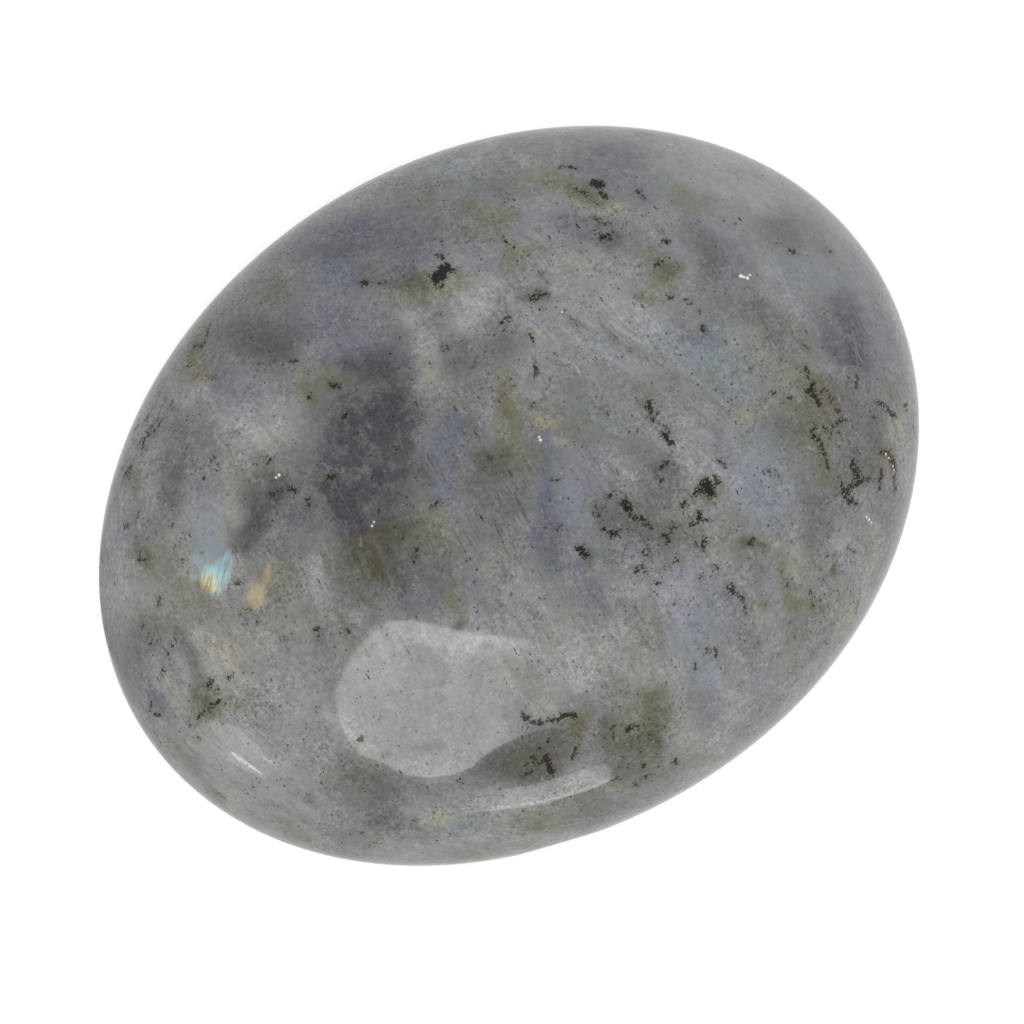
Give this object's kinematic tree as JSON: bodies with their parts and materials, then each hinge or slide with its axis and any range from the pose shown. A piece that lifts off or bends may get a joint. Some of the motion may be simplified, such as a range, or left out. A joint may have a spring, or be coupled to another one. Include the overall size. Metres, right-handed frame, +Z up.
{
  "type": "palm stone",
  "caption": "Polished oval labradorite palm stone, flattened and rounded to lie in the hand, with a small flat underneath to rest on.",
  "frame": {"origin": "under the middle of the stone, on the plane that its resting flat lies on", "axes": "+X along the stone's length, +Y across its width, +Z up through its thickness"},
  "size_m": [0.066, 0.0524, 0.024],
  "materials": {
    "labradorite": "polished, mottled grey with dark inclusions"
  },
  "bodies": {
    "root": {"stone": "labradorite"}
  },
  "joints": []
}
